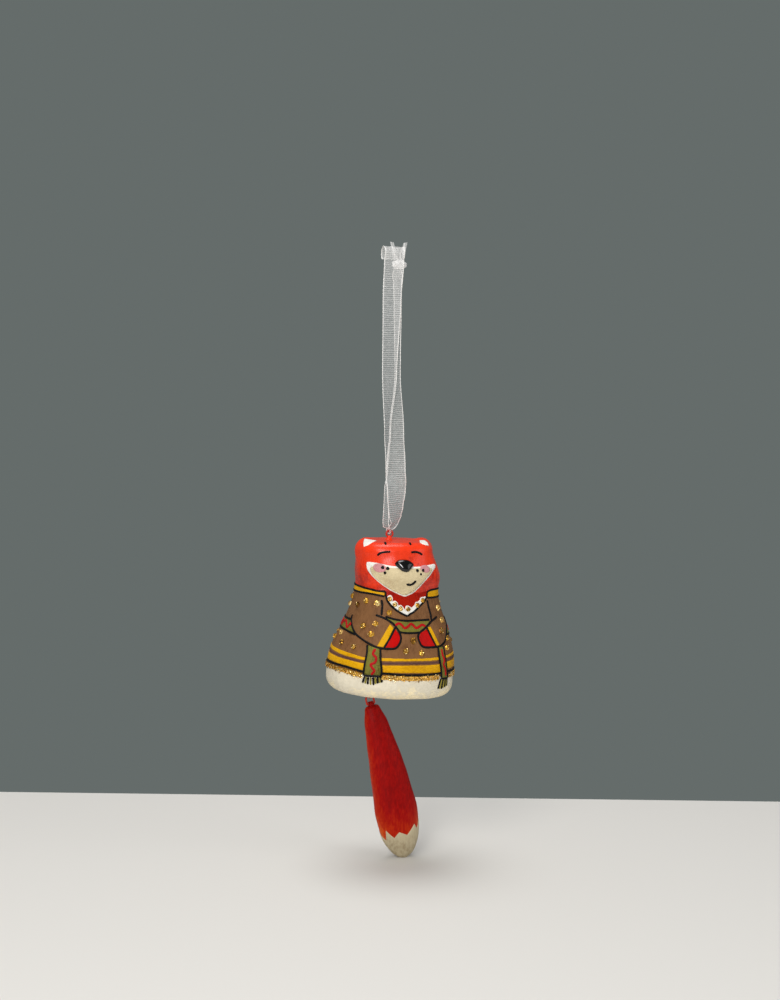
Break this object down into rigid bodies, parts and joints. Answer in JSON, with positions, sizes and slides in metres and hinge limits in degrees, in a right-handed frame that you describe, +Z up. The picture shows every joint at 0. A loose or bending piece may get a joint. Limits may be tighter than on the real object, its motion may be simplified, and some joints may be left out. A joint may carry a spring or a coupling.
{
  "type": "hanging fox ornament",
  "caption": "Hanging paper-pulp fox in a painted coat, hung by a sheer ribbon loop, with raised glitter drops and a separate tail that swings from a wire link.",
  "frame": {"origin": "centre of the ribbon wrap that the ornament hangs from", "axes": "+Z up along the hanging line, +X along the branch that the ribbon wraps, the fox facing -Y"},
  "size_m": [0.0651, 0.0575, 0.3169],
  "materials": {
    "organza": "sheer woven",
    "painted_pulp": "hand painted, satin",
    "core_board": "raw",
    "red_wire": "brushed paint",
    "black_gloss": "gloss",
    "gold_glitter": "glitter in glue",
    "red_pulp": "hand painted, satin"
  },
  "bodies": {
    "ribbon": {"ribbon_loop": "organza", "ribbon_front_strand": "organza", "ribbon_back_strand": "organza", "ribbon_knot": "organza", "ribbon_ends": "organza"},
    "bight": {"ribbon_bight": "organza"},
    "figure": {"figure_shell": "painted_pulp", "figure_core": "core_board", "top_eye": "red_wire", "base_eye": "red_wire", "nose": "black_gloss", "coat_drops": "gold_glitter", "collar_drops": "gold_glitter", "hem_glitter": "gold_glitter"},
    "link": {"tail_link": "red_wire"},
    "tail": {"tail": "red_pulp"}
  },
  "joints": [
    {"name": "figure_turn", "type": "hinge", "parent": "ribbon", "child": "bight", "pos_m": [0, 0, -0.139], "axis": [0, 0, 1], "range_deg": [-90, 90]},
    {"name": "figure_swing", "type": "hinge", "parent": "bight", "child": "figure", "pos_m": [0, 0, -0.139], "axis": [0, 1, 0], "range_deg": [-45, 45]},
    {"name": "tail_sway", "type": "hinge", "parent": "figure", "child": "link", "pos_m": [-0.00605, 0.0125, -0.22479], "axis": [0, 1, 0], "range_deg": [-50, 50]},
    {"name": "tail_swing", "type": "hinge", "parent": "link", "child": "tail", "pos_m": [-0.00519, 0.0125, -0.22833], "axis": [0.972, 0, 0.2351], "range_deg": [-50, 50]}
  ]
}
